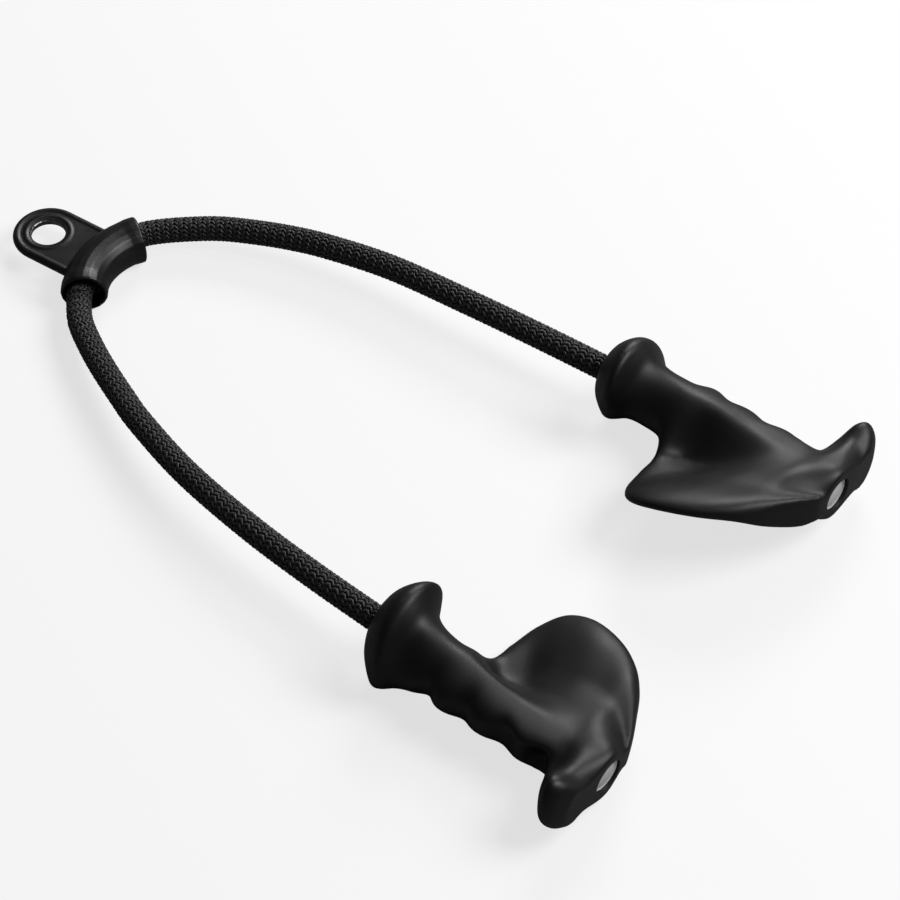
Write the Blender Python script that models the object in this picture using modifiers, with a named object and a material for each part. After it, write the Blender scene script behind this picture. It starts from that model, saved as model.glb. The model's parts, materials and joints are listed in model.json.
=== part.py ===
"""Triceps rope attachment: a moulded hub with a lifting eye, one rope through it, two shaped handles.

Units are metres, +Z is up and the hub lies on the floor. +X runs from the hub to the handles,
+Y to the left handle. Every free size is named once here; what fits into or over another piece
takes its size from the same value and a clearance.
"""
import math

import bmesh
import bpy
from mathutils import Matrix, Vector

# Clearances
SEAT_GAP = 0.0003
RUN_GAP = 0.0005
CUT_OVERRUN = 0.004
WELD_DISTANCE = 0.00001
SMOOTH_ANGLE = math.radians(35)
BEVEL_ANGLE = math.radians(50)

# Rope
ROPE_RADIUS = 0.0065
ROPE_POINT_STEP = 0.022
ROPE_RESOLUTION = 3
ROPE_DOME_STEPS = 5
ROPE_TAIL_SHARES = (0.0, 0.1, 0.55, 1.0)

# Hub: sleeve that the rope runs through
BEND_RADIUS = 0.0425
BEND_HALF_ANGLE = math.radians(35)
SLEEVE_RADIUS = 0.0118
LIP_RADIUS = 0.0122
LIP_LENGTH = 0.003
LIP_TAPER = 0.004
LIP_ROUNDING = 0.0009
MOUTH_RADIUS = 0.0104
MOUTH_FLARE = 0.0040
ROPE_OFFSET_AT_MOUTH = 0.0024
SLEEVE_POINTS = 17
SLEEVE_RESOLUTION = 4
HUB_HEADING = math.radians(5)

# Hub: guide tube and tab
GUIDE_WALL = 0.0015
GUIDE_SETBACK = 0.0068
TAB_THICKNESS = 0.0050
TAB_RADIUS = 0.0180
TAB_ROUNDING = 0.0008
EYE_SETBACK = 0.0350
EYE_RADIUS = 0.0092
EYE_LIP = 0.0005
EYELET_HEIGHT = 0.0030
EYELET_WALL = 0.0014
EYELET_CHAMFER = 0.0004
PLATE_THICKNESS = 0.0026
PLATE_MARGIN = 0.0030
ARC_STEPS = 24

# Handle, measured along the rope's axis from its mouth
HANDLE_LENGTH = 0.143
GRIP_HALF_WIDTH = 0.0142
PALM_REACH = 0.069
FINGER_REACH = 0.0405
GROOVE_DEPTH = 0.0036
GROOVE_SHARPNESS = 1.4
RING_POINTS = 24
STEPS_PER_SECTION = 3
# The four finger grooves: middle along the handle and half width
GROOVES = (
    (0.0440, 0.0100),
    (0.0645, 0.0112),
    (0.0885, 0.0130),
    (0.1165, 0.0128),
)
# How the form leaves its middle plane: the top flange leans and is lifted, the palm rest curves
# down at its edge and the end lobe curves up
FLANGE_LIFT = 0.0020
FLANGE_LEAN_SHARE = 0.22
FLANGE_SPAN_SHARES = (0.12, 0.30)
PALM_DROP = 0.0035
PALM_SPAN_SHARES = (0.42, 0.52, 0.70, 0.90)
LOBE_LIFT = 0.0105
LOBE_SPAN_SHARES = (0.72, 0.84)

# Handle: what is inside it
CORE_WALL = 0.0012
CORE_START = 0.006
POCKET_RADIUS = 0.0093
WASHER_THICKNESS = 0.002
FERRULE_LENGTH = 0.022
FERRULE_ROOM = 0.004
FERRULE_CHAMFER = 0.0012
FERRULE_BAND_DEPTH = 0.0006
FERRULE_BANDS = 3
CAP_THICKNESS = 0.0026
CAP_DOME = 0.0007
CAP_SHOULDER_SHARE = 0.9
CAP_SETBACK = 0.0070
ROPE_TAIL = 0.0008

# Where the handles lie: their mouths, relative to the middle of the sleeve's bend, and attitude.
# Each rests on the floor, so its height follows from its form.
LEFT_MOUTH = (0.2630, 0.0950)
LEFT_HEADING = math.radians(1.8)
LEFT_PITCH = math.radians(-0.2)
LEFT_ROLL = math.radians(-12.8)
RIGHT_MOUTH = (0.2740, -0.1025)
RIGHT_HEADING = math.radians(-0.6)
RIGHT_PITCH = math.radians(-2.4)
RIGHT_ROLL = math.radians(5.7)

# Route of the rope's free legs between the sleeve and the handles: along X and Y from the middle
# of the sleeve's bend, height above the floor
LEFT_ROUTE = (
    (0.0165, 0.0416, 0.0128),
    (0.0330, 0.0549, 0.0137),
    (0.0495, 0.0638, 0.0148),
    (0.0700, 0.0723, 0.0164),
    (0.0925, 0.0789, 0.0182),
    (0.1305, 0.0857, 0.0212),
    (0.1795, 0.0894, 0.0236),
    (0.2220, 0.0925, 0.0246),
)
RIGHT_ROUTE = (
    (0.0225, -0.0401, 0.0128),
    (0.0380, -0.0494, 0.0138),
    (0.0548, -0.0579, 0.0150),
    (0.0770, -0.0677, 0.0167),
    (0.0975, -0.0759, 0.0183),
    (0.1390, -0.0882, 0.0212),
    (0.1875, -0.0964, 0.0232),
    (0.2300, -0.1000, 0.0236),
)

# Cross-sections of a handle from its mouth to its foot: along the palm edge, palm reach, along the
# finger edge, finger reach, along the spine, half width. Places along are shares of HANDLE_LENGTH.
SECTION_SHARES = (
    (0.005, 0.145, 0.005, 0.230, 0.005, 0.76),
    (0.030, 0.240, 0.022, 0.380, 0.025, 1.26),
    (0.080, 0.335, 0.070, 0.530, 0.065, 1.73),
    (0.113, 0.385, 0.110, 0.600, 0.100, 1.80),
    (0.136, 0.325, 0.138, 0.555, 0.128, 1.50),
    (0.166, 0.230, 0.168, 0.490, 0.170, 1.15),
    (0.222, 0.180, 0.225, 0.465, 0.235, 1.03),
    (0.290, 0.177, 0.296, 0.478, 0.310, 1.00),
    (0.350, 0.187, 0.362, 0.504, 0.375, 1.00),
    (0.386, 0.227, 0.440, 0.488, 0.433, 0.99),
    (0.395, 0.377, 0.532, 0.460, 0.496, 0.88),
    (0.394, 0.627, 0.625, 0.430, 0.555, 0.78),
    (0.414, 0.873, 0.717, 0.403, 0.618, 0.75),
    (0.461, 1.050, 0.773, 0.375, 0.688, 0.75),
    (0.542, 1.090, 0.800, 0.415, 0.760, 0.75),
    (0.650, 1.015, 0.818, 0.600, 0.816, 0.83),
    (0.756, 0.873, 0.858, 0.860, 0.852, 1.04),
    (0.841, 0.720, 0.907, 1.045, 0.884, 1.28),
    (0.901, 0.550, 0.950, 1.050, 0.919, 1.33),
    (0.937, 0.393, 0.987, 0.820, 0.954, 1.22),
    (0.968, 0.226, 0.995, 0.340, 0.979, 0.84),
)

COLLECTION_NAME = "triceps_rope_attachment"

ROPE_BORE = ROPE_RADIUS + RUN_GAP
GUIDE_RADIUS = ROPE_BORE + GUIDE_WALL
SLEEVE_BORE = GUIDE_RADIUS + SEAT_GAP
CORE_RADIUS = ROPE_BORE + CORE_WALL
CAP_END = HANDLE_LENGTH - CAP_SETBACK
CAP_START = CAP_END - CAP_THICKNESS
FERRULE_END = CAP_START - FERRULE_ROOM
FERRULE_START = FERRULE_END - FERRULE_LENGTH
WASHER_START = FERRULE_START - SEAT_GAP - WASHER_THICKNESS
CORE_END = WASHER_START - SEAT_GAP
ROPE_END = FERRULE_END - ROPE_TAIL
EYELET_RADIUS = EYE_RADIUS + EYELET_WALL
EYE_X = -EYE_SETBACK


def clear_scene():
    for item in list(bpy.data.objects):
        bpy.data.objects.remove(item, do_unlink=True)


def new_collection(name):
    collection = bpy.data.collections.new(name)
    bpy.context.scene.collection.children.link(collection)
    return collection


def material(name, rgb, roughness, metallic):
    made = bpy.data.materials.new(name)
    made.use_nodes = True
    shader = made.node_tree.nodes["Principled BSDF"]
    shader.inputs["Base Color"].default_value = (*rgb, 1.0)
    shader.inputs["Roughness"].default_value = roughness
    shader.inputs["Metallic"].default_value = metallic
    made.diffuse_color = (*rgb, 1.0)
    return made


def add_object(name, data, collection, surface=None, parent=None):
    made = bpy.data.objects.new(name, data)
    collection.objects.link(made)
    if surface:
        data.materials.append(surface)
    if parent:
        made.parent = parent
    return made


def add_frame(name, matrix, parent, collection):
    frame = bpy.data.objects.new(name, None)
    collection.objects.link(frame)
    frame.parent = parent
    frame.matrix_parent_inverse = Matrix.Identity(4)
    bpy.context.view_layer.update()
    frame.matrix_world = matrix
    bpy.context.view_layer.update()
    return frame


def smooth(mesh):
    mesh.shade_smooth()
    mesh.set_sharp_from_angle(angle=SMOOTH_ANGLE)


def curve_through(points, step):
    """Evenly spaced points on a smooth curve through the route's own points."""
    route = [Vector(point) for point in points]
    route = [2 * route[0] - route[1], *route, 2 * route[-1] - route[-2]]
    fine = []
    for before, start, end, after in zip(route, route[1:], route[2:], route[3:]):
        pieces = max(2, round((end - start).length / step))
        for index in range(pieces):
            t = index / pieces
            fine.append(0.5 * (2 * start + (end - before) * t
                               + (2 * before - 5 * start + 4 * end - after) * t ** 2
                               + (3 * start - before - 3 * end + after) * t ** 3))
    fine.append(route[-2])
    return fine


def tube_curve(name, points, radius, radius_shares, resolution):
    """A tube along the points; each point has its own share of the radius."""
    curve = bpy.data.curves.new(name, "CURVE")
    curve.dimensions = "3D"
    curve.bevel_depth = radius
    curve.bevel_resolution = resolution
    curve.use_fill_caps = True
    spline = curve.splines.new("POLY")
    spline.points.add(len(points) - 1)
    for target, point, share in zip(spline.points, points, radius_shares):
        target.co = (*point, 1.0)
        target.radius = share
    spline.use_smooth = True
    return curve


def curve_to_mesh(made):
    """Replaces a curve object by a closed mesh object of the same name and place."""
    graph = bpy.context.evaluated_depsgraph_get()
    mesh = bpy.data.meshes.new_from_object(made.evaluated_get(graph))
    welded = bmesh.new()
    welded.from_mesh(mesh)
    bmesh.ops.remove_doubles(welded, verts=welded.verts, dist=WELD_DISTANCE)
    bmesh.ops.recalc_face_normals(welded, faces=welded.faces)
    welded.to_mesh(mesh)
    welded.free()
    name = made.name
    solid = bpy.data.objects.new(name + "_mesh", mesh)
    for collection in made.users_collection:
        collection.objects.link(solid)
    solid.parent = made.parent
    solid.matrix_world = made.matrix_world.copy()
    bpy.data.objects.remove(made, do_unlink=True)
    solid.name = name
    return solid


def bend_tube(name, radius, setback, end_profile, collection, surface=None, parent=None, overrun=0.0):
    """A tube along the bend. end_profile holds (distance from its end, radius) towards the middle."""
    reach = BEND_HALF_ANGLE * BEND_RADIUS - setback
    distances = [distance for distance, _ in end_profile]
    middle = [(-1 + 2 * index / (SLEEVE_POINTS - 1)) for index in range(SLEEVE_POINTS)]
    inner = reach - max(distances, default=0.0)
    stations = [(-reach + distance, size) for distance, size in end_profile]
    stations += [(inner * share, radius) for share in middle[1:-1]]
    stations += [(reach - distance, size) for distance, size in reversed(end_profile)]
    points = []
    for along, _ in stations:
        turn = math.pi - along / BEND_RADIUS
        points.append(Vector((BEND_RADIUS * (1 + math.cos(turn)), BEND_RADIUS * math.sin(turn), 0)))
    shares = [size / radius for _, size in stations]
    if overrun:
        points.insert(0, points[0] + overrun * mouth_direction(-1))
        points.append(points[-1] + overrun * mouth_direction(1))
        shares = [shares[0], *shares, shares[-1]]
    curve = tube_curve(name, points, radius, shares, SLEEVE_RESOLUTION)
    made = add_object(name, curve, collection, surface, parent)
    bpy.context.view_layer.update()
    return curve_to_mesh(made)


def mouth_direction(side):
    """Direction in which the rope leaves the mouth on that side (+1 left, -1 right)."""
    return Vector((math.sin(BEND_HALF_ANGLE), side * math.cos(BEND_HALF_ANGLE), 0))


def mouth_centre(side, offset=0.0):
    radius = BEND_RADIUS + offset
    return Vector((BEND_RADIUS - radius * math.cos(BEND_HALF_ANGLE),
                   side * radius * math.sin(BEND_HALF_ANGLE), 0))


def cut(target, cutter, operation="DIFFERENCE"):
    step = target.modifiers.new(cutter.name, "BOOLEAN")
    step.operation = operation
    step.object = cutter
    step.solver = "EXACT"


def as_cutter(made):
    made.hide_render = True
    made.display_type = "WIRE"
    return made


def turned(name, profile, collection, surface=None, parent=None, steps=ARC_STEPS):
    """A turned solid about its own X axis. The profile holds (along X, radius), a closed ring or
    ending on the axis."""
    mesh = bpy.data.meshes.new(name)
    outline = bmesh.new()
    corners = [outline.verts.new((radius, 0, -along)) for along, radius in profile]
    for first, second in zip(corners, corners[1:]):
        outline.edges.new((first, second))
    if profile[0][1] > 0 or profile[-1][1] > 0:
        outline.edges.new((corners[-1], corners[0]))
    outline.to_mesh(mesh)
    outline.free()
    made = add_object(name, mesh, collection, surface, parent)
    made.rotation_euler = (0, -math.pi / 2, 0)
    screw = made.modifiers.new("turn", "SCREW")
    screw.steps = steps
    screw.render_steps = steps
    screw.use_merge_vertices = True
    screw.merge_threshold = WELD_DISTANCE
    screw.use_smooth_shade = True
    screw.use_normal_calculate = False
    return made


def tab_outline(margin, front):
    """Flat outline of the tab: a round end about the eye and straight sides to the front."""
    radius = TAB_RADIUS - margin
    points = [(front, -radius)]
    points += [(EYE_X + radius * math.cos(turn), radius * math.sin(turn)) for turn in
               (-math.pi / 2 - math.pi * index / ARC_STEPS for index in range(ARC_STEPS + 1))]
    points.append((front, radius))
    return [Vector((x, y, 0)) for x, y in points]


def flat_plate(name, outline, half_thickness, collection, surface=None, parent=None):
    curve = bpy.data.curves.new(name, "CURVE")
    curve.dimensions = "2D"
    curve.fill_mode = "BOTH"
    curve.extrude = half_thickness
    spline = curve.splines.new("POLY")
    spline.points.add(len(outline) - 1)
    for target, point in zip(spline.points, outline):
        target.co = (*point, 1.0)
    spline.use_cyclic_u = True
    made = add_object(name, curve, collection, surface, parent)
    bpy.context.view_layer.update()
    return curve_to_mesh(made)


def round_edges(made, width, segments=2):
    bevel = made.modifiers.new("rounded edges", "BEVEL")
    bevel.width = width
    bevel.segments = segments
    bevel.limit_method = "ANGLE"
    bevel.angle_limit = BEVEL_ANGLE


def disc_cutter(name, radius, half_height, centre_x, collection, parent):
    mesh = bpy.data.meshes.new(name)
    disc = bmesh.new()
    bmesh.ops.create_cone(disc, cap_ends=True, segments=2 * ARC_STEPS, radius1=radius, radius2=radius,
                          depth=2 * half_height)
    disc.to_mesh(mesh)
    disc.free()
    made = add_object(name, mesh, collection, parent=parent)
    made.location = (centre_x, 0, 0)
    return as_cutter(made)


def build_hub(parts, cutters, hub, skins):
    """Moulded cover over a steel tang plate, an eyelet and the bent guide tube."""
    lip = [(0.0, LIP_RADIUS - LIP_ROUNDING), (LIP_ROUNDING, LIP_RADIUS), (LIP_LENGTH, LIP_RADIUS),
           (LIP_LENGTH + LIP_TAPER, SLEEVE_RADIUS)]
    cover = bend_tube("hub_cover", SLEEVE_RADIUS, 0.0, lip, parts, skins["rubber"], hub)
    tab = flat_plate("tab_form", tab_outline(0.0, SLEEVE_RADIUS / 2), TAB_THICKNESS / 2, cutters, parent=hub)
    round_edges(as_cutter(tab), TAB_ROUNDING)
    cut(cover, tab, "UNION")

    flare = [(0.0, MOUTH_RADIUS), (MOUTH_FLARE, SLEEVE_BORE)]
    bore = as_cutter(bend_tube("sleeve_bore", SLEEVE_BORE, 0.0, flare, cutters, parent=hub,
                               overrun=CUT_OVERRUN))
    cut(cover, bore)
    seat_half = EYELET_HEIGHT / 2 + SEAT_GAP
    face_half = TAB_THICKNESS / 2 + CUT_OVERRUN
    lip_radius = EYE_RADIUS + EYE_LIP
    seat_radius = EYELET_RADIUS + SEAT_GAP
    face_radius = lip_radius + face_half - seat_half
    eye = turned("eye_bore", [(-face_half, 0.0), (-face_half, face_radius), (-seat_half, lip_radius),
                              (-seat_half, seat_radius), (seat_half, seat_radius), (seat_half, lip_radius),
                              (face_half, face_radius), (face_half, 0.0)], cutters, parent=hub)
    eye.location = (EYE_X, 0, 0)
    eye.rotation_euler = (0, 0, 0)
    cut(cover, as_cutter(eye))
    slot = flat_plate("plate_slot", tab_outline(PLATE_MARGIN - SEAT_GAP, 0.0),
                      PLATE_THICKNESS / 2 + SEAT_GAP, cutters, parent=hub)
    cut(cover, as_cutter(slot))

    plate = flat_plate("tang_plate", tab_outline(PLATE_MARGIN, 0.0), PLATE_THICKNESS / 2, parts,
                       skins["steel"], hub)
    cut(plate, disc_cutter("eyelet_seat", seat_radius, PLATE_THICKNESS, EYE_X, cutters, hub))
    seat = disc_cutter("tube_seat", BEND_RADIUS + GUIDE_RADIUS + SEAT_GAP, PLATE_THICKNESS, BEND_RADIUS,
                       cutters, hub)
    cut(plate, seat)

    half = EYELET_HEIGHT / 2
    eyelet = turned("eyelet", [(-half, EYE_RADIUS + EYELET_CHAMFER), (-half, EYELET_RADIUS),
                               (half, EYELET_RADIUS), (half, EYE_RADIUS + EYELET_CHAMFER),
                               (half - EYELET_CHAMFER, EYE_RADIUS), (EYELET_CHAMFER - half, EYE_RADIUS)],
                    parts, skins["steel"], hub)
    eyelet.location = (EYE_X, 0, 0)
    eyelet.rotation_euler = (0, 0, 0)

    guide = bend_tube("guide_tube", GUIDE_RADIUS, GUIDE_SETBACK, [(0.0, GUIDE_RADIUS)], parts,
                      skins["steel"], hub)
    guide_bore = as_cutter(bend_tube("guide_bore", ROPE_BORE, GUIDE_SETBACK, [(0.0, ROPE_BORE)], cutters,
                                     parent=hub, overrun=CUT_OVERRUN))
    cut(guide, guide_bore)

    rope_setback = ROPE_RADIUS + SEAT_GAP
    middle = bend_tube("rope_middle", ROPE_RADIUS, rope_setback, [(0.0, ROPE_RADIUS)], parts,
                       skins["rope"], hub)
    for made in (cover, plate, guide, middle):
        smooth(made.data)


def section_at(position):
    """Cross-section sizes at a position counted in sections, on a smooth curve through the table."""
    index = min(int(position), len(SECTION_SHARES) - 2)
    t = position - index
    last = len(SECTION_SHARES) - 1
    rows = [SECTION_SHARES[min(max(index + shift, 0), last)] for shift in (-1, 0, 1, 2)]
    values = []
    for before, start, end, after in zip(*rows):
        values.append(0.5 * (2 * start + (end - before) * t
                             + (2 * before - 5 * start + 4 * end - after) * t ** 2
                             + (3 * start - before - 3 * end + after) * t ** 3))
    return values


def groove_depth(along):
    """How deep the finger grooves are at a place along the finger edge."""
    for middle, half_width in GROOVES:
        if abs(along - middle) < half_width:
            wave = 0.5 + 0.5 * math.cos(math.pi * (along - middle) / half_width)
            return GROOVE_DEPTH * wave ** GROOVE_SHARPNESS
    return 0.0


def ramp(value, start, end):
    """From 0 at the start to 1 at the end, straight between them."""
    return min(max((value - start) / (end - start), 0.0), 1.0)


def height_off_plane(along_share, across):
    """How far the form stands off its middle plane at a place along and to the finger side."""
    flange = 1 - ramp(along_share, *FLANGE_SPAN_SHARES)
    palm = ramp(along_share, *PALM_SPAN_SHARES[:2]) * (1 - ramp(along_share, *PALM_SPAN_SHARES[2:]))
    palm *= (min(across, 0.0) / PALM_REACH) ** 2
    lobe = ramp(along_share, *LOBE_SPAN_SHARES) * (max(across, 0.0) / FINGER_REACH) ** 2
    return flange * (FLANGE_LIFT - FLANGE_LEAN_SHARE * across) - PALM_DROP * palm + LOBE_LIFT * lobe


def handle_ring(position):
    """One closed cross-section: X along the rope, Y to the finger side, Z across the hand."""
    palm_at, palm, finger_at, finger, spine_at, width = section_at(position)
    finger_along = finger_at * HANDLE_LENGTH
    palm_point = Vector((palm_at * HANDLE_LENGTH, -palm * PALM_REACH, 0))
    finger_point = Vector((finger_along, finger * FINGER_REACH - groove_depth(finger_along), 0))
    spine_point = Vector((spine_at * HANDLE_LENGTH, 0, 0))
    half_chord = (finger_point - palm_point) / 2
    bow = (finger_point + palm_point) / 2 - spine_point
    ring = []
    for index in range(RING_POINTS):
        turn = 2 * math.pi * index / RING_POINTS
        point = spine_point + half_chord * math.cos(turn) + bow * math.cos(turn) ** 2
        point.z = width * GRIP_HALF_WIDTH * math.sin(turn) + height_off_plane(spine_at, point.y)
        ring.append(point)
    return ring


def handle_form(side):
    """Outer form of a handle, lofted through its cross-sections; the right one is the left one's
    mirror image."""
    form = bmesh.new()
    count = (len(SECTION_SHARES) - 1) * STEPS_PER_SECTION
    rings = [[form.verts.new((point.x, point.y, side * point.z))
              for point in handle_ring(index / STEPS_PER_SECTION)] for index in range(count + 1)]
    for ring, following in zip(rings, rings[1:]):
        for index in range(RING_POINTS):
            beside = (index + 1) % RING_POINTS
            form.faces.new((ring[index], ring[beside], following[beside], following[index]))
    form.faces.new(list(reversed(rings[0])))
    form.faces.new(rings[-1])
    bmesh.ops.recalc_face_normals(form, faces=form.faces)
    mesh = bpy.data.meshes.new("grip_form")
    form.to_mesh(mesh)
    form.free()
    smooth(mesh)
    return mesh


def tube_profile(start, end, inner, outer):
    return [(start, outer), (end, outer), (end, inner), (start, inner)]


def ferrule_profile():
    """Stop sleeve with chamfered ends and pressed bands."""
    outer = POCKET_RADIUS - RUN_GAP
    inner = ROPE_RADIUS + SEAT_GAP
    profile = [(FERRULE_START, outer - FERRULE_CHAMFER), (FERRULE_START + FERRULE_CHAMFER, outer)]
    span = FERRULE_LENGTH / (2 * FERRULE_BANDS + 1)
    for band in range(FERRULE_BANDS):
        start = FERRULE_START + span * (2 * band + 1)
        profile += [(start, outer), (start + FERRULE_BAND_DEPTH, outer - FERRULE_BAND_DEPTH),
                    (start + span - FERRULE_BAND_DEPTH, outer - FERRULE_BAND_DEPTH), (start + span, outer)]
    profile += [(FERRULE_END - FERRULE_CHAMFER, outer), (FERRULE_END, outer - FERRULE_CHAMFER),
                (FERRULE_END, inner), (FERRULE_START, inner)]
    return profile


def build_handle(side, form, parts, cutters, handle, leg, skins):
    """Grip, its stiff core, thrust washer and end cap on the handle; the ferrule on the rope."""
    grip = add_object(side + "_grip", form, parts, skins["rubber"], handle)
    cavity = turned(side + "_cavity", [(-CUT_OVERRUN, 0.0), (-CUT_OVERRUN, ROPE_BORE), (CORE_START, ROPE_BORE),
                                       (CORE_START, CORE_RADIUS + SEAT_GAP), (CORE_END, CORE_RADIUS + SEAT_GAP),
                                       (CORE_END, POCKET_RADIUS), (HANDLE_LENGTH + CUT_OVERRUN, POCKET_RADIUS),
                                       (HANDLE_LENGTH + CUT_OVERRUN, 0.0)],
                    cutters, parent=handle)
    cut(grip, as_cutter(cavity))
    turned(side + "_core_tube", tube_profile(CORE_START + SEAT_GAP, CORE_END, ROPE_BORE, CORE_RADIUS),
           parts, skins["nylon"], handle)
    turned(side + "_thrust_washer", tube_profile(WASHER_START, WASHER_START + WASHER_THICKNESS, ROPE_BORE,
                                                 POCKET_RADIUS - SEAT_GAP),
           parts, skins["steel"], handle)
    turned(side + "_ferrule", ferrule_profile(), parts, skins["steel"], leg)
    rim = POCKET_RADIUS - SEAT_GAP
    turned(side + "_end_cap", [(CAP_START, 0.0), (CAP_START, rim), (CAP_END - CAP_DOME, rim),
                               (CAP_END - CAP_DOME / 2, rim * CAP_SHOULDER_SHARE), (CAP_END, rim / 2), (CAP_END, 0.0)],
           parts, skins["cap"], handle)


def handle_matrix(side, mouth, heading, pitch, roll, form):
    """Frame of a handle: X along the rope, Y to the finger side, which points away from the middle.
    The handle lies with its lowest point on the floor."""
    flip = 0.0 if side > 0 else math.pi
    attitude = (Matrix.Rotation(heading, 4, "Z") @ Matrix.Rotation(-pitch, 4, "Y")
                @ Matrix.Rotation(flip + side * roll, 4, "X"))
    lowest = min((attitude @ vertex.co).z for vertex in form.vertices)
    return Matrix.Translation(Vector((*mouth, -lowest))) @ attitude


def rope_leg(name, side, route, handle_frame, hub_matrix, shift, parts, skin, leg):
    """Rope from its rounded end in the mouth of the sleeve to its end in the ferrule."""
    pivot = hub_matrix @ mouth_centre(side, ROPE_OFFSET_AT_MOUTH)
    first = pivot + (hub_matrix.to_3x3() @ mouth_direction(side)) * ROPE_RADIUS
    free = [shift @ Vector(point) for point in route]
    tail = [handle_frame @ Vector((share * ROPE_END, 0, 0)) for share in ROPE_TAIL_SHARES]
    points = curve_through([pivot, first, *free, *tail], ROPE_POINT_STEP)
    along = points[1] - points[0]
    dome = [(-math.cos(turn), math.sin(turn)) for turn in
            (math.pi / 2 * index / ROPE_DOME_STEPS for index in range(1, ROPE_DOME_STEPS))]
    start = [pivot + along.normalized() * ROPE_RADIUS * back for back, _ in dome]
    shares = [share for _, share in dome] + [1.0] * len(points)
    local = leg.matrix_world.inverted()
    curve = tube_curve(name, [local @ point for point in start + points], ROPE_RADIUS, shares,
                       ROPE_RESOLUTION)
    return add_object(name, curve, parts, skin, leg)


def main():
    clear_scene()
    parts = new_collection(COLLECTION_NAME)
    cutters = new_collection("cutters")
    skins = {
        "rubber": material("black moulded rubber", (0.012, 0.012, 0.013), 0.55, 0.0),
        "rope": material("black braided rope", (0.016, 0.015, 0.017), 0.6, 0.0),
        "steel": material("plated steel", (0.55, 0.55, 0.54), 0.3, 1.0),
        "nylon": material("natural nylon", (0.60, 0.58, 0.52), 0.5, 0.0),
        "cap": material("satin grey cap", (0.30, 0.30, 0.31), 0.35, 0.6),
    }
    sides = (
        ("left", 1, LEFT_MOUTH, LEFT_HEADING, LEFT_PITCH, LEFT_ROLL, LEFT_ROUTE),
        ("right", -1, RIGHT_MOUTH, RIGHT_HEADING, RIGHT_PITCH, RIGHT_ROLL, RIGHT_ROUTE),
    )
    forms = {name: handle_form(side) for name, side, *_ in sides}
    frames = {name: handle_matrix(side, mouth, heading, pitch, roll, forms[name])
              for name, side, mouth, heading, pitch, roll, _ in sides}

    # The origin lies under the middle of the box of everything but the rope
    corners = [frames[name] @ vertex.co for name, form in forms.items() for vertex in form.vertices]
    low_x = EYE_X * math.cos(HUB_HEADING) - TAB_RADIUS
    high_x = max(corner.x for corner in corners)
    low_y = min(corner.y for corner in corners)
    high_y = max(corner.y for corner in corners)
    shift = Matrix.Translation(Vector((-(low_x + high_x) / 2, -(low_y + high_y) / 2, 0)))

    hub_matrix = shift @ Matrix.Translation(Vector((0, 0, LIP_RADIUS))) @ Matrix.Rotation(HUB_HEADING, 4, "Z")
    hub = add_frame("hub", hub_matrix, None, parts)
    build_hub(parts, cutters, hub, skins)
    for name, side, _, _, _, _, route in sides:
        pivot = Matrix.Translation(hub_matrix @ mouth_centre(side, ROPE_OFFSET_AT_MOUTH))
        leg = add_frame(name + "_leg", pivot, hub, parts)
        handle_frame = shift @ frames[name]
        handle = add_frame(name + "_handle", handle_frame, leg, parts)
        rope_frame = add_frame(name + "_rope_end", handle_frame, leg, parts)
        rope_leg("rope_" + name, side, route, handle_frame, hub_matrix, shift, parts, skins["rope"], leg)
        build_handle(name, forms[name], parts, cutters, handle, rope_frame, skins)


main()
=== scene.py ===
"""Triceps rope attachment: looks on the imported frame. Metres, +X from the hub to the handles, +Z up."""
import json
import math

import bpy
from mathutils import Matrix, Vector


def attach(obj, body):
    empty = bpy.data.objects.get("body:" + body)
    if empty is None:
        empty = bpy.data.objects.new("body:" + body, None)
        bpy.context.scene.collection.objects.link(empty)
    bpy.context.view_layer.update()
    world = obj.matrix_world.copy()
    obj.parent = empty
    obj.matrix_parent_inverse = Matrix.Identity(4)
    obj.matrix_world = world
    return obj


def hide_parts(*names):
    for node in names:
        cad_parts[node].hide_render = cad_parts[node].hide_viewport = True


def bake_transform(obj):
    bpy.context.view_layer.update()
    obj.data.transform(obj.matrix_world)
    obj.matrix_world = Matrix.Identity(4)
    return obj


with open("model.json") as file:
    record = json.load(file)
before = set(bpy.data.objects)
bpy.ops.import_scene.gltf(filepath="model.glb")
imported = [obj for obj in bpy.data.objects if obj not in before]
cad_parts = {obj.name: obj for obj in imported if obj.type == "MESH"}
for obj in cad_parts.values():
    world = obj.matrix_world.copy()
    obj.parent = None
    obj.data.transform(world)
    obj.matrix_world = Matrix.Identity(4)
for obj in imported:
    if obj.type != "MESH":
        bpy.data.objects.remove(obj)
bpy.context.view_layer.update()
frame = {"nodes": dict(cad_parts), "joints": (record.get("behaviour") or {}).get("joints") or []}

# Camera
VIEW_AZIMUTH = math.radians(38.57)
VIEW_ELEVATION = math.radians(49.07)
VIEW_AIM = Vector((0.0502, 0.0071, 0.020))
VIEW_DISTANCE = 1.692
LENS_MM = 135
SENSOR_MM = 36

# Softboxes: place, width and height, power. Both face the origin.
KEY_PLACE = (1.05, 0.75, 1.5)
KEY_SIZE = (1.0, 1.0)
KEY_WATTS = 30
TOP_PLACE = (-0.60, 1.60, 1.15)
TOP_SIZE = (0.9, 0.7)
TOP_WATTS = 24
WORLD_STRENGTH = 0.06
WHITE = (1, 1, 1, 1)

# Floor, just under the part
FLOOR_SIZE = 12
FLOOR_HEIGHT = -0.0002
FLOOR_GLOW_SHARE = 0.72

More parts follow.
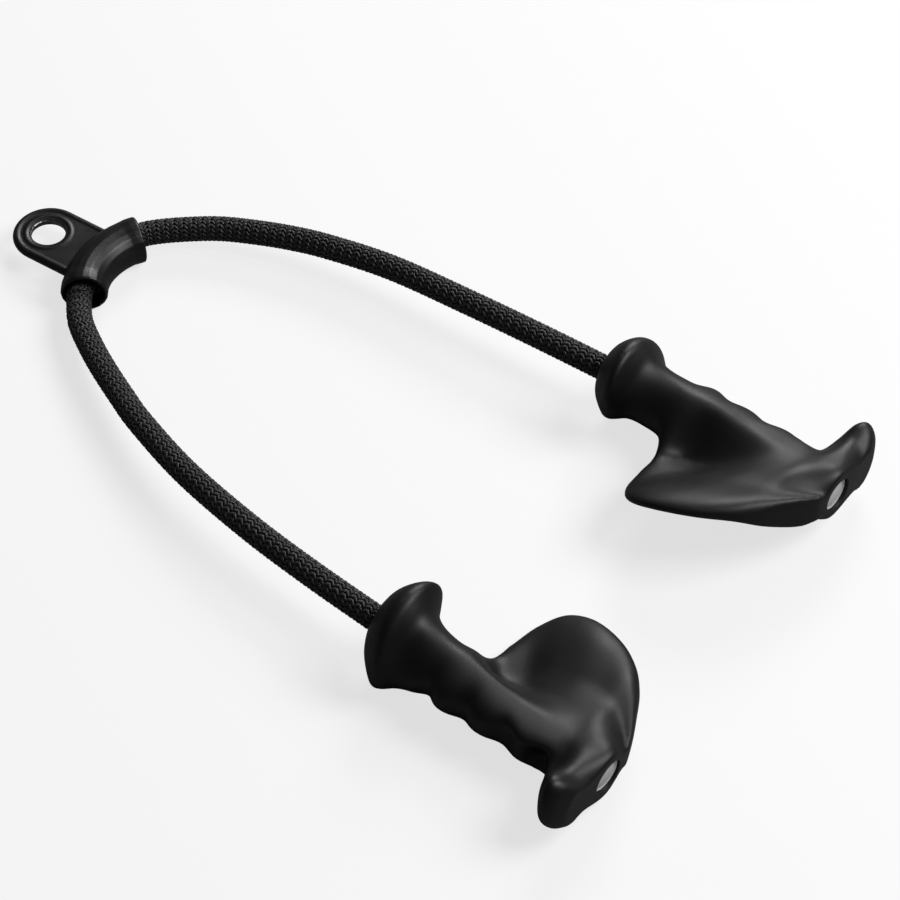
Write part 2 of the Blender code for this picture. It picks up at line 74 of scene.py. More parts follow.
# Rope, as it lies; the routes' points are measured from the ground under the hub's centre
ROPE_RADIUS = 0.0065
HUB_CENTRE = Vector((-0.181646, 0.000856, 0.0122))
HUB_HEADING = math.radians(5)
BEND_RADIUS = 0.0425
BEND_HALF_ANGLE = math.radians(35)
SLEEVE_LINE_STEPS = 8
MOUTH_OFFSET = 0.0024
MOUTH_DRIFT_ANGLE = math.radians(14)
LEFT_ROUTE = (
    (0.0165, 0.0416, 0.0128),
    (0.0330, 0.0549, 0.0137),
    (0.0495, 0.0638, 0.0148),
    (0.0700, 0.0723, 0.0164),
    (0.0925, 0.0789, 0.0182),
    (0.1305, 0.0857, 0.0212),
    (0.1795, 0.0894, 0.0236),
    (0.2220, 0.0925, 0.0246),
)
RIGHT_ROUTE = (
    (0.0225, -0.0401, 0.0128),
    (0.0380, -0.0494, 0.0138),
    (0.0548, -0.0579, 0.0150),
    (0.0770, -0.0677, 0.0167),
    (0.0975, -0.0759, 0.0183),
    (0.1390, -0.0882, 0.0212),
    (0.1875, -0.0964, 0.0232),
    (0.2300, -0.1000, 0.0236),
)
ROUTE_STEP = 0.004
ROPE_END = 0.1286
ROPE_END_SHARES = (0.0, 0.1, 0.55, 1.0)

# Braid: eight carriers each way, two yarns on each; it is laid a little way into sleeve and handle
CARRIERS = 8
YARNS_A_CARRIER = 2
BRAID_LAY = 0.040
BRAID_RADIUS = 0.00580
BRAID_WAVE = 0.00050
BRAID_IN_SLEEVE = 0.014
BRAID_IN_HANDLE = 0.018
YARN_WIDTH = 0.00172
YARN_THICKNESS = 0.00112
YARN_SIDES = 6
STEPS_A_CROSSING = 3
CORE_RADIUS = 0.0050
CORE_SIDES = 20
CORE_STRIDE = 4

# Hub
SLEEVE_RADIUS = 0.0122
LIP_RADIUS = 0.0126
SLEEVE_BORE = 0.0088
MOUTH_RADIUS = 0.0108
BORE_OVERRUN = 0.004
SLEEVE_PLAIN_STEPS = 12
EYE_X = -0.0350
EYE_RADIUS = 0.0096
EYE_RING_RADIUS = 0.0120
EYE_SEAT_RADIUS = 0.0109
EYE_SEAT_DEPTH = 0.0036
EYE_CUT_DEPTH = 0.02
TAB_RADIUS = 0.0191
TAB_RIM = 0.0025
TAB_WEB = 0.0020
TAB_ROOT_X = 0.002
TAB_END_STEPS = 48
EYE_RING_STEPS = 64
HUB_VOXEL = 0.00042
HUB_ROUNDS = 4

# Distance in from the sleeve's mouth and radius there: the thickened lip, then the bore with its
# rounded mouth
LIP_STATIONS = (
    (0.0, LIP_RADIUS - 0.0011),
    (0.0004, LIP_RADIUS - 0.0003),
    (0.0011, LIP_RADIUS),
    (0.0045, LIP_RADIUS),
    (0.0085, SLEEVE_RADIUS),
)
BORE_STATIONS = (
    (0.0, MOUTH_RADIUS + 0.0006),
    (0.0006, MOUTH_RADIUS),
    (0.0012, MOUTH_RADIUS - 0.0002),
    (0.0045, SLEEVE_BORE),
)

# Handles
HANDLE_LENGTH = 0.143
GRIP_HALF_WIDTH = 0.0142
PALM_REACH = 0.0700
FINGER_REACH = 0.0413
LEFT_ROLL = math.radians(-12.8)
RIGHT_ROLL = math.radians(5.7)

# Finger grooves: middle along the handle and half width
GROOVES = (
    (0.0440, 0.0100),
    (0.0645, 0.0112),
    (0.0885, 0.0130),
    (0.1165, 0.0128),
)
GROOVE_DEPTH = 0.0036
GROOVE_SHARPNESS = 1.4

# The flange is tilted, up on the palm side, and its upper and lower rims are shifted along the
# handle; both fade along the neck
FLANGE_LIFT = 0.0020
FLANGE_LEAN_SHARE = 0.22
FLANGE_TIP_SHARE = 0.08
FLANGE_END_SHARE = 0.10
LEAN_FADED_SHARE = 0.32
TIP_FADED_SHARE = 0.25

# Lifts of the two edges are eased in over these distances from the spine
PALM_LIFT_EASE = 0.022
FINGER_LIFT_EASE = 0.034

# An edge thicker than EDGE_FULL_SHARE makes its side a plate: the grip's roundness fades by
# GRIP_SPREAD_SHARE of the way out, and the plate is dished inside its rim
EDGE_FULL_SHARE = 0.3
EDGE_SQUARENESS = 8
GRIP_SPREAD_SHARE = 0.62
DISH_SHARE = 0.28
RIM_FROM_SHARE = 0.55
RIM_TO_SHARE = 0.92

# Skin of the grips
RING_POINTS = 96
STEPS_PER_SECTION = 8
SKIN_VOXEL = 0.0009
SKIN_ROUNDS = 14
SMOOTH_FACTOR = 0.5

# Spots of the skin rubbed smooth, the root of the palm rest and the root of the end lobe: place along
# the handle, across it and up, and how far the rubbing reaches
RUBBED_SPOTS = (
    (0.052, -0.019, -0.009, 0.023),
    (0.121, 0.020, 0.010, 0.016),
)
RUBBED_CORE_SHARE = 0.35
RUBBED_ROUNDS = 110

# Holes along the handle, radius, start and end: for the rope, for the core tube and for the end cap
GRIP_HOLES = (
    (0.0072, -0.006, 0.010),
    (0.0085, 0.006, 0.106),
    (0.0093, 0.1045, 0.155),
)

# End cap; each of its steps is an inset and the rise of the face inside it
CAP_RADIUS = 0.0090
CAP_THICKNESS = 0.0030
CAP_ALONG = 0.1366
CAP_EDGE = 0.0003
CAP_STEPS = (
    (0.0007, 0.0),
    (0.0006, -0.0004),
    (0.0022, 0.0005),
    (0.0024, 0.0003),
    (0.0018, 0.0001),
)

HOLE_SIDES = 64
ROUND_SIDES = 96
MERGE_BELOW = 0.00001

# Cross-sections of a handle from its mouth to its foot: along the palm edge, palm reach, along the
# finger edge, finger reach, along the spine, half width, thickness and lift of the palm edge, thickness
# and lift of the finger edge
SECTION_SHARES = (
    (0.005, 0.145, 0.010, 0.230, 0.005, 0.76, 0.00, 0.00, 0.00, 0.00),
    (0.030, 0.250, 0.040, 0.385, 0.025, 1.28, 0.00, 0.00, 0.00, 0.00),
    (0.080, 0.345, 0.090, 0.535, 0.065, 1.71, 0.00, 0.02, 0.00, 0.00),
    (0.113, 0.390, 0.132, 0.615, 0.100, 1.77, 0.00, -0.04, 0.00, -0.14),
    (0.138, 0.335, 0.162, 0.560, 0.130, 1.56, 0.00, -0.15, 0.00, -0.45),
    (0.168, 0.255, 0.194, 0.475, 0.172, 1.24, 0.00, -0.28, 0.00, -0.70),
    (0.222, 0.215, 0.242, 0.438, 0.235, 1.10, 0.00, -0.36, 0.00, -0.60),
    (0.290, 0.220, 0.300, 0.474, 0.310, 1.04, 0.00, -0.40, 0.00, -0.18),
    (0.326, 0.285, 0.362, 0.504, 0.375, 1.02, 0.00, -0.52, 0.00, 0.00),
    (0.342, 0.370, 0.440, 0.490, 0.433, 0.98, 0.06, -0.76, 0.00, 0.00),
    (0.350, 0.465, 0.532, 0.462, 0.496, 0.90, 0.26, -0.92, 0.00, 0.00),
    (0.358, 0.625, 0.622, 0.430, 0.555, 0.82, 0.38, -0.98, 0.00, 0.00),
    (0.376, 0.850, 0.706, 0.385, 0.618, 0.78, 0.42, -0.88, 0.00, 0.00),
    (0.435, 1.015, 0.752, 0.270, 0.688, 0.77, 0.46, -0.50, 0.00, 0.00),
    (0.542, 1.050, 0.780, 0.290, 0.760, 0.78, 0.46, -0.10, 0.00, 0.04),
    (0.675, 0.975, 0.806, 0.510, 0.816, 0.84, 0.46, 0.16, 0.22, 0.26),
    (0.780, 0.840, 0.846, 0.730, 0.852, 0.94, 0.52, 0.26, 0.60, 0.44),
    (0.852, 0.685, 0.882, 0.915, 0.884, 1.04, 0.66, 0.14, 0.98, 0.56),
    (0.904, 0.510, 0.912, 1.020, 0.920, 1.10, 0.76, 0.02, 1.22, 0.46),
    (0.942, 0.370, 0.950, 0.970, 0.952, 1.10, 0.76, -0.04, 1.20, 0.28),
    (0.968, 0.255, 0.978, 0.800, 0.978, 1.00, 0.66, -0.04, 1.00, 0.12),
)


# Helpers


def deselect():
    bpy.ops.object.select_all(action="DESELECT")


def only(piece):
    deselect()
    piece.select_set(True)
    bpy.context.view_layer.objects.active = piece


def new_object(name, data):
    made = bpy.data.objects.new(name, data)
    bpy.context.scene.collection.objects.link(made)
    return made


def new_mesh_piece(name, vertices, faces, material):
    mesh = bpy.data.meshes.new(name)
    mesh.from_pydata(vertices, [], faces)
    mesh.materials.append(material)
    return new_object(name, mesh)


def ring_faces(base, count, rings):
    """Faces of a closed tube whose rings of count points start at point base."""
    faces = []
    for ring in range(rings - 1):
        for index in range(count):
            beside = (index + 1) % count
            low, high = base + ring * count, base + (ring + 1) * count
            faces.append((low + index, low + beside, high + beside, high + index))
    faces.append(tuple(reversed(range(base, base + count))))
    faces.append(tuple(range(base + (rings - 1) * count, base + rings * count)))
    return faces


def face_outwards(piece, merge_below=0.0):
    """Turns all faces outwards, after merging doubled points where a distance is given."""
    only(piece)
    bpy.ops.object.mode_set(mode="EDIT")
    bpy.ops.mesh.select_all(action="SELECT")
    if merge_below:
        bpy.ops.mesh.remove_doubles(threshold=merge_below)
    bpy.ops.mesh.normals_make_consistent(inside=False)
    bpy.ops.object.mode_set(mode="OBJECT")


def apply_modifiers(piece):
    only(piece)
    for step in list(piece.modifiers):
        bpy.ops.object.modifier_apply(modifier=step.name)


def even_skin(piece, voxel, rounds):
    """Melts a piece into one even skin and takes its sharp corners off."""
    even = piece.modifiers.new("even skin", "REMESH")
    even.mode = "VOXEL"
    even.voxel_size = voxel
    soften = piece.modifiers.new("soft corners", "SMOOTH")
    soften.iterations = rounds
    soften.factor = SMOOTH_FACTOR
    apply_modifiers(piece)


def cut_away(piece, cutters):
    """Cuts the cutters out of the piece and removes them."""
    for cutter in cutters:
        step = piece.modifiers.new("opening", "BOOLEAN")
        step.operation = "DIFFERENCE"
        step.object = cutter
        step.solver = "EXACT"
    apply_modifiers(piece)
    deselect()
    for cutter in cutters:
        cutter.select_set(True)
    bpy.ops.object.delete()


def set_down(piece):
    """Puts a finished piece's place into its mesh."""
    only(piece)
    bpy.ops.object.transform_apply(location=True, rotation=True, scale=True)


def hand_over(piece, body, replaced, crease):
    """Shades a finished piece, tells the frame what it rides on and hides the part it replaces."""
    only(piece)
    bpy.ops.object.shade_smooth_by_angle(angle=math.radians(crease))
    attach(piece, body)
    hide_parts(replaced)


def on_curve(before, start, end, after, t):
    """Place at share t from start to end on a smooth curve through all four."""
    return 0.5 * (2 * start + (end - before) * t + (2 * before - 5 * start + 4 * end - after) * t ** 2
                  + (3 * start - before - 3 * end + after) * t ** 3)


def smooth_through(points, step):
    """Points about a step apart on a smooth curve through the route's own points."""
    route = [Vector(point) for point in points]
    route = [2 * route[0] - route[1], *route, 2 * route[-1] - route[-2]]
    fine = []
    for before, start, end, after in zip(route, route[1:], route[2:], route[3:]):
        pieces = max(2, round((end - start).length / step))
        fine += [on_curve(before, start, end, after, index / pieces) for index in range(pieces)]
    fine.append(route[-2])
    return fine


def length_of(points):
    return sum((end - start).length for start, end in zip(points, points[1:]))


def step_between(value, start, end):
    """From 0 at the start to 1 at the end, eased at both."""
    t = min(max((value - start) / (end - start), 0.0), 1.0)
    return t * t * (3 - 2 * t)


# Camera


def set_camera():
    data = bpy.data.cameras.new("camera")
    data.lens = LENS_MM
    data.sensor_width = SENSOR_MM
    camera = new_object("camera", data)
    toward = Vector((math.sin(VIEW_AZIMUTH) * math.cos(VIEW_ELEVATION),
                     -math.cos(VIEW_AZIMUTH) * math.cos(VIEW_ELEVATION), math.sin(VIEW_ELEVATION)))
    camera.location = VIEW_AIM + toward * VIEW_DISTANCE
    camera.rotation_euler = (-toward).to_track_quat("-Z", "Y").to_euler()
    bpy.context.scene.camera = camera


set_camera()


# Materials


def colour(code):
    """A hex sRGB colour as the linear values that the shaders take."""
    parts = [int(code[index:index + 2], 16) / 255 for index in (0, 2, 4)]
    return (*[part / 12.92 if part <= 0.04045 else ((part + 0.055) / 1.055) ** 2.4 for part in parts], 1.0)


def node(tree, kind, inputs=None, **settings):
    """Adds a node with its settings, values and links."""
    made = tree.nodes.new(kind)
    for name, value in settings.items():
        setattr(made, name, value)
    for socket, value in (inputs or {}).items():
        if isinstance(value, bpy.types.NodeSocket):
            tree.links.new(value, made.inputs[socket])
        else:
            made.inputs[socket].default_value = value
    return made


def new_material(name):
    made = bpy.data.materials.new(name)
    made.use_nodes = True
    tree = made.node_tree
    tree.nodes.clear()
    output = node(tree, "ShaderNodeOutputMaterial")
    shader = node(tree, "ShaderNodeBsdfPrincipled")
    tree.links.new(shader.outputs["BSDF"], output.inputs["Surface"])
    return made, tree, shader


def ramp(tree, factor, stops):
    """Colour ramp from (position, hex colour) stops."""
    made = node(tree, "ShaderNodeValToRGB", {"Fac": factor})
    band = made.color_ramp
    while len(band.elements) < len(stops):
        band.elements.new(0.5)
    for element, (position, code) in zip(band.elements, stops):
        element.position = position
        element.color = colour(code)
    return made.outputs["Color"]


def moulded_rubber():
    # Soft thermoplastic rubber from a fine-eroded mould: a deep black with a broad soft sheen.
    # Its tone drifts over about 17 mm; the mould's grain is about 0.4 mm.
    made, tree, shader = new_material("thermoplastic rubber, black, moulded")
    place = node(tree, "ShaderNodeTexCoord").outputs["Object"]
    cloud = node(tree, "ShaderNodeTexNoise", {"Vector": place, "Scale": 60.0, "Detail": 4.0}).outputs["Fac"]
    grain = node(tree, "ShaderNodeTexNoise", {"Vector": place, "Scale": 2600.0, "Detail": 2.0}).outputs["Fac"]
    tree.links.new(ramp(tree, cloud, ((0.30, "0B0A0B"), (0.70, "0F0E10"))), shader.inputs["Base Color"])
    rough = node(tree, "ShaderNodeMapRange", {"Value": cloud, "From Min": 0.3, "From Max": 0.7,
                                              "To Min": 0.44, "To Max": 0.52}).outputs["Result"]
    tree.links.new(rough, shader.inputs["Roughness"])
    bump = node(tree, "ShaderNodeBump", {"Height": grain, "Strength": 0.25, "Distance": 0.00012})
    tree.links.new(bump.outputs["Normal"], shader.inputs["Normal"])
    shader.inputs["IOR"].default_value = 1.50
    shader.inputs["Specular IOR Level"].default_value = 0.38
    return made


def moulded_nylon():
    # Glass-filled nylon with a rubbery skin: black satin, a little glossier than the grips.
    # Its tone drifts over about 11 mm; the mould's grain is about 0.6 mm.
    made, tree, shader = new_material("glass-filled nylon, black, moulded")
    place = node(tree, "ShaderNodeTexCoord").outputs["Object"]
    cloud = node(tree, "ShaderNodeTexNoise", {"Vector": place, "Scale": 90.0, "Detail": 5.0}).outputs["Fac"]
    grain = node(tree, "ShaderNodeTexNoise", {"Vector": place, "Scale": 1800.0, "Detail": 3.0}).outputs["Fac"]
    tree.links.new(ramp(tree, cloud, ((0.30, "0D0D0E"), (0.70, "131314"))), shader.inputs["Base Color"])
    rough = node(tree, "ShaderNodeMapRange", {"Value": cloud, "From Min": 0.3, "From Max": 0.7,
                                              "To Min": 0.34, "To Max": 0.44}).outputs["Result"]
    tree.links.new(rough, shader.inputs["Roughness"])
    bump = node(tree, "ShaderNodeBump", {"Height": grain, "Strength": 0.3, "Distance": 0.00010})
    tree.links.new(bump.outputs["Normal"], shader.inputs["Normal"])
    shader.inputs["IOR"].default_value = 1.53
    shader.inputs["Specular IOR Level"].default_value = 0.38
    return made


def braided_polyester():
    # Spun polyester yarn: near-black filaments with a dull sheen along each yarn
    made, tree, shader = new_material("polyester yarn, black, braided")
    fibre = node(tree, "ShaderNodeAttribute", attribute_name="fibre").outputs["Vector"]
    # Filaments lie about 0.02 mm apart across a yarn and keep their tone for about 1 mm along it; they
    # are too fine to be told apart in the render and only mottle the yarn
    stretched = node(tree, "ShaderNodeMapping",
                     {"Vector": fibre, "Scale": (9.0, 220.0, 7.0)}).outputs["Vector"]
    strands = node(tree, "ShaderNodeTexNoise",
                   {"Vector": stretched, "Scale": 1.0, "Detail": 3.0}).outputs["Fac"]
    tree.links.new(ramp(tree, strands, ((0.25, "080709"), (0.75, "19181B"))), shader.inputs["Base Color"])
    bump = node(tree, "ShaderNodeBump", {"Height": strands, "Strength": 0.5, "Distance": 0.0002})
    tree.links.new(bump.outputs["Normal"], shader.inputs["Normal"])
    shader.inputs["Roughness"].default_value = 0.42
    shader.inputs["Sheen Weight"].default_value = 0.12
    shader.inputs["Sheen Roughness"].default_value = 0.4
    shader.inputs["IOR"].default_value = 1.5
    return made


def plated_steel():
    # Zinc-plated steel, aged: mid grey, softly scattered by plating that is blotched over 2.5 mm
    made, tree, shader = new_material("steel, zinc plated")
    place = node(tree, "ShaderNodeTexCoord").outputs["Object"]
    cloud = node(tree, "ShaderNodeTexNoise", {"Vector": place, "Scale": 400.0, "Detail": 4.0}).outputs["Fac"]
    tree.links.new(ramp(tree, cloud, ((0.3, "7A7B79"), (0.7, "91928F"))), shader.inputs["Base Color"])
    rough = node(tree, "ShaderNodeMapRange", {"Value": cloud, "From Min": 0.3, "From Max": 0.7,
                                              "To Min": 0.32, "To Max": 0.44}).outputs["Result"]
    tree.links.new(rough, shader.inputs["Roughness"])
    shader.inputs["Metallic"].default_value = 1.0
    return made


def phosphated_steel():
    # Phosphated and oiled steel tube: dark grey and dull, so that the sleeve's inside stays dark.
    # Its crystals are drawn 2 mm wide.
    made, tree, shader = new_material("steel, phosphated")
    place = node(tree, "ShaderNodeTexCoord").outputs["Object"]
    cloud = node(tree, "ShaderNodeTexNoise", {"Vector": place, "Scale": 500.0, "Detail": 4.0}).outputs["Fac"]
    tree.links.new(ramp(tree, cloud, ((0.3, "1C1C1D"), (0.7, "2A2A2B"))), shader.inputs["Base Color"])
    shader.inputs["Roughness"].default_value = 0.6
    shader.inputs["Metallic"].default_value = 0.6
    return made


def satin_aluminium():
    # Aluminium disc with a fine satin finish, lightly oxidised: a soft pale silver, mottled over 1.5 mm
    made, tree, shader = new_material("aluminium, satin turned")
    place = node(tree, "ShaderNodeTexCoord").outputs["Object"]
    cloud = node(tree, "ShaderNodeTexNoise", {"Vector": place, "Scale": 700.0, "Detail": 3.0}).outputs["Fac"]
    tree.links.new(ramp(tree, cloud, ((0.3, "E4E4E6"), (0.7, "F0F0F1"))), shader.inputs["Base Color"])
    rough = node(tree, "ShaderNodeMapRange", {"Value": cloud, "From Min": 0.3, "From Max": 0.7,
                                              "To Min": 0.38, "To Max": 0.50}).outputs["Result"]
    tree.links.new(rough, shader.inputs["Roughness"])
    shader.inputs["Metallic"].default_value = 0.45
    return made


def natural_nylon():
    # Unfilled nylon tube: milky and smooth, clouded over about 7 mm
    made, tree, shader = new_material("nylon, natural, extruded")
    place = node(tree, "ShaderNodeTexCoord").outputs["Object"]
    cloud = node(tree, "ShaderNodeTexNoise", {"Vector": place, "Scale": 150.0}).outputs["Fac"]
    tree.links.new(ramp(tree, cloud, ((0.3, "C9C4B4"), (0.7, "D8D4C6"))), shader.inputs["Base Color"])
    shader.inputs["Roughness"].default_value = 0.45
    shader.inputs["IOR"].default_value = 1.53
    return made


RUBBER = moulded_rubber()
NYLON = moulded_nylon()
YARN = braided_polyester()
STEEL = plated_steel()
GUIDE = phosphated_steel()
CAP = satin_aluminium()
LINER = natural_nylon()


# Places


def hub_point(x, y):
    """A point of the hub's own plane, in the frame's axes."""
    return HUB_CENTRE + Matrix.Rotation(HUB_HEADING, 3, "Z") @ Vector((x, y, 0))


def sleeve_line(side):
    """The rope's line in the sleeve, from the middle of the bend to the mouth, where it leans out."""
    points = []
    for index in range(SLEEVE_LINE_STEPS + 1):
        angle = BEND_HALF_ANGLE * index / SLEEVE_LINE_STEPS
        lean = max(0.0, (angle - BEND_HALF_ANGLE + MOUTH_DRIFT_ANGLE) / MOUTH_DRIFT_ANGLE)
        radius = BEND_RADIUS + MOUTH_OFFSET * lean ** 2 * (3 - 2 * lean)
        points.append(hub_point(BEND_RADIUS - radius * math.cos(angle), side * radius * math.sin(angle)))
    return points


def handle_frame(name, side, roll):
    """A handle's own axes: +X along it from its joint, +Y to the fingers, +Z turned by its roll."""
    joint = next(each for each in frame["joints"] if each["name"] == name + "_handle_turn")
    along = Vector(joint["axis"]).normalized()
    level = Vector((0, 0, 1)).cross(along).normalized()
    upright = Matrix((along, level, along.cross(level))).transposed()
    flip = 0.0 if side > 0 else math.pi
    return Matrix.Translation(Vector(joint["pos_m"])) @ (
        upright @ Matrix.Rotation(flip + side * roll, 3, "X")).to_4x4()


HANDLES = {
    "left": handle_frame("left", 1, LEFT_ROLL),
    "right": handle_frame("right", -1, RIGHT_ROLL),
}


def along_handle(place):
    """The turn that lays a cylinder along a handle."""
    return (place.to_3x3() @ Matrix.Rotation(math.pi / 2, 3, "Y")).to_euler()


# Grips


def section_at(position):
    """Section sizes at a position counted in sections, on a smooth curve through the table."""
    last = len(SECTION_SHARES) - 1
    index = min(int(position), last - 1)
    rows = [SECTION_SHARES[min(max(index + shift, 0), last)] for shift in (-1, 0, 1, 2)]
    return [on_curve(*column, position - index) for column in zip(*rows)]


def groove_depth(along):
    for middle, half_width in GROOVES:
        if abs(along - middle) < half_width:
            wave = 0.5 + 0.5 * math.cos(math.pi * (along - middle) / half_width)
            return GROOVE_DEPTH * wave ** GROOVE_SHARPNESS
    return 0.0


def half_thickness(share, width, edge):
    """Half thickness from the spine (0) to an edge (1): round where the edge is thin, a dished plate
    with a rim where it is thick."""
    rounded = width * math.sqrt(max(0.0, 1 - share * share))
    plate_share = min(1.0, max(0.0, edge) / EDGE_FULL_SHARE)
    bell = max(0.0, 1 - (share / GRIP_SPREAD_SHARE) ** 2) ** 2
    rim = edge * (1 - DISH_SHARE * (1 - step_between(share, RIM_FROM_SHARE, RIM_TO_SHARE)))
    plate = (rim + (width - rim) * bell) * math.sqrt(max(0.0, 1 - share ** EDGE_SQUARENESS))
    return rounded + (plate - rounded) * plate_share


def grip_ring(position, side):
    """The points of one cross-section, round from the finger edge over the top to the palm edge."""
    (palm_at, palm, finger_at, finger, spine_at, width,
     palm_edge, palm_lift, finger_edge, finger_lift) = section_at(position)
    finger_along = finger_at * HANDLE_LENGTH
    palm_point = Vector((palm_at * HANDLE_LENGTH, -palm * PALM_REACH, 0))
    finger_point = Vector((finger_along, finger * FINGER_REACH - groove_depth(finger_along), 0))
    spine_point = Vector((spine_at * HANDLE_LENGTH, 0, 0))
    half_chord = (finger_point - palm_point) / 2
    bow = (finger_point + palm_point) / 2 - spine_point
    lean_left = 1 - step_between(spine_at, FLANGE_END_SHARE, LEAN_FADED_SHARE)
    tip_left = 1 - step_between(spine_at, FLANGE_END_SHARE, TIP_FADED_SHARE)
    ring = []
    for index in range(RING_POINTS):
        turn = 2 * math.pi * index / RING_POINTS
        share = math.cos(turn)
        if share < 0:
            edge, lift, ease = palm_edge, palm_lift, PALM_LIFT_EASE
        else:
            edge, lift, ease = finger_edge, finger_lift, FINGER_LIFT_EASE
        point = spine_point + half_chord * share + bow * share ** 2
        thick = GRIP_HALF_WIDTH * half_thickness(abs(share), width, edge)
        lean = lean_left * (FLANGE_LIFT - FLANGE_LEAN_SHARE * point.y)
        raised = GRIP_HALF_WIDTH * lift * step_between(abs(point.y), 0.0, ease)
        height = math.copysign(thick, math.sin(turn)) + lean + raised
        point.x += FLANGE_TIP_SHARE * height * tip_left
        point.z = side * height
        ring.append(point)
    return ring


def rub_smooth(piece, middle, radius):
    """Rubs one spot of the skin smooth, most in its middle."""
    spot = piece.vertex_groups.new(name="spot")
    for vertex in piece.data.vertices:
        share = 1 - step_between((vertex.co - middle).length, RUBBED_CORE_SHARE * radius, radius)
        if share > 0:
            spot.add([vertex.index], share, "REPLACE")
    step = piece.modifiers.new("spot", "SMOOTH")
    step.factor = SMOOTH_FACTOR
    step.iterations = RUBBED_ROUNDS
    step.vertex_group = spot.name
    apply_modifiers(piece)
    piece.vertex_groups.clear()


def hole(piece, place, radius, start, end):
    """Cuts a round hole along the handle's axis."""
    deselect()
    bpy.ops.mesh.primitive_cylinder_add(vertices=HOLE_SIDES, radius=radius, depth=end - start,
                                        location=place @ Vector(((start + end) / 2, 0, 0)),
                                        rotation=along_handle(place))
    cut_away(piece, [bpy.context.object])


def moulded_grip(side_name, side):
    """A grip lofted through its sections; its form follows the hand and no turned or boxed start gives it."""
    place = HANDLES[side_name]
    count = (len(SECTION_SHARES) - 1) * STEPS_PER_SECTION + 1
    rings = [grip_ring(index / STEPS_PER_SECTION, side) for index in range(count)]
    piece = new_mesh_piece("moulded_grip_" + side_name, [place @ point for ring in rings for point in ring],
                           ring_faces(0, RING_POINTS, count), RUBBER)
    face_outwards(piece)
    even_skin(piece, SKIN_VOXEL, SKIN_ROUNDS)
    for along, across, high, radius in RUBBED_SPOTS:
        rub_smooth(piece, place @ Vector((along, across, side * high)), radius)
    for radius, start, end in GRIP_HOLES:
        hole(piece, place, radius, start, end)
    hand_over(piece, side_name + "_handle", side_name + "_grip", crease=40)


def pressed_cap(side_name):
    """A pressed disc with a rolled edge and a shallow dome, snapped into the foot of the grip."""
    deselect()
    place = HANDLES[side_name]
    bpy.ops.mesh.primitive_cylinder_add(vertices=ROUND_SIDES, radius=CAP_RADIUS, depth=CAP_THICKNESS,
                                        location=place @ Vector((CAP_ALONG, 0, 0)),
                                        rotation=along_handle(place))
    piece = bpy.context.object
    piece.name = "pressed_cap_" + side_name
    set_down(piece)
    bpy.ops.object.mode_set(mode="EDIT")
    bpy.ops.mesh.select_all(action="DESELECT")
    bpy.ops.object.mode_set(mode="OBJECT")
    outward = place.to_3x3() @ Vector((1, 0, 0))
    for face in piece.data.polygons:
        face.select = face.normal.dot(outward) > 0.9
    bpy.ops.object.mode_set(mode="EDIT")
    bpy.ops.mesh.select_mode(type="FACE")
    for narrower, rise in CAP_STEPS:
        bpy.ops.mesh.inset(thickness=narrower, depth=0.0)
        bpy.ops.transform.translate(value=outward * rise)
    bpy.ops.object.mode_set(mode="OBJECT")
    rolled = piece.modifiers.new("rolled edge", "BEVEL")
    rolled.width = CAP_EDGE
    rolled.segments = 3
    rolled.angle_limit = math.radians(50)
    apply_modifiers(piece)
    piece.data.materials.append(CAP)
    hand_over(piece, side_name + "_handle", side_name + "_end_cap", crease=40)


moulded_grip("left", 1)
moulded_grip("right", -1)
pressed_cap("left")
pressed_cap("right")


# Hub cover


def tube(name, points, sizes, cyclic=False):
    """A tube through points of the hub's own plane, with a radius at each."""
    curve = bpy.data.curves.new(name, "CURVE")
    curve.dimensions = "3D"
    curve.bevel_depth = 1.0
    curve.bevel_resolution = 8
    curve.use_fill_caps = not cyclic
    line = curve.splines.new("POLY")
    line.points.add(len(points) - 1)
    for target, (x, y), size in zip(line.points, points, sizes):
        target.co = (*hub_point(x, y), 1.0)
        target.radius = size
    line.use_cyclic_u = cyclic
    only(new_object(name, curve))
    bpy.ops.object.convert(target="MESH")
    made = bpy.context.object
    face_outwards(made, MERGE_BELOW)
    return made


def bend_points(stations):
    """Points and radii along the sleeve's bend for (distance from the middle, radius) stations."""
    reach = BEND_RADIUS * BEND_HALF_ANGLE
    points, sizes = [], []
    for distance, size in stations:
        inside = max(-reach, min(reach, distance))
        angle = inside / BEND_RADIUS
        beyond = distance - inside
        points.append((BEND_RADIUS * (1 - math.cos(angle)) + beyond * math.sin(angle),
                       BEND_RADIUS * math.sin(angle) + beyond * math.cos(angle)))
        sizes.append(size)
    return points, sizes


def sleeve(name, end, radius, overrun=0.0):
    """A tube along the bend. end holds (distance in from the mouth, radius)."""
    reach = BEND_RADIUS * BEND_HALF_ANGLE
    inner = reach - end[-1][0]
    half = [(reach + overrun, end[0][1])] if overrun else []
    half += [(reach - distance, size) for distance, size in end]
    half += [(inner * (1 - index / SLEEVE_PLAIN_STEPS), radius) for index in range(1, SLEEVE_PLAIN_STEPS)]
    stations = [(-distance, size) for distance, size in half] + [(0.0, radius)] + list(reversed(half))
    return tube(name, *bend_points(stations))


def eye_cylinder(radius, depth):
    bpy.ops.mesh.primitive_cylinder_add(vertices=ROUND_SIDES, radius=radius, depth=depth,
                                        location=hub_point(EYE_X, 0))
    return bpy.context.object


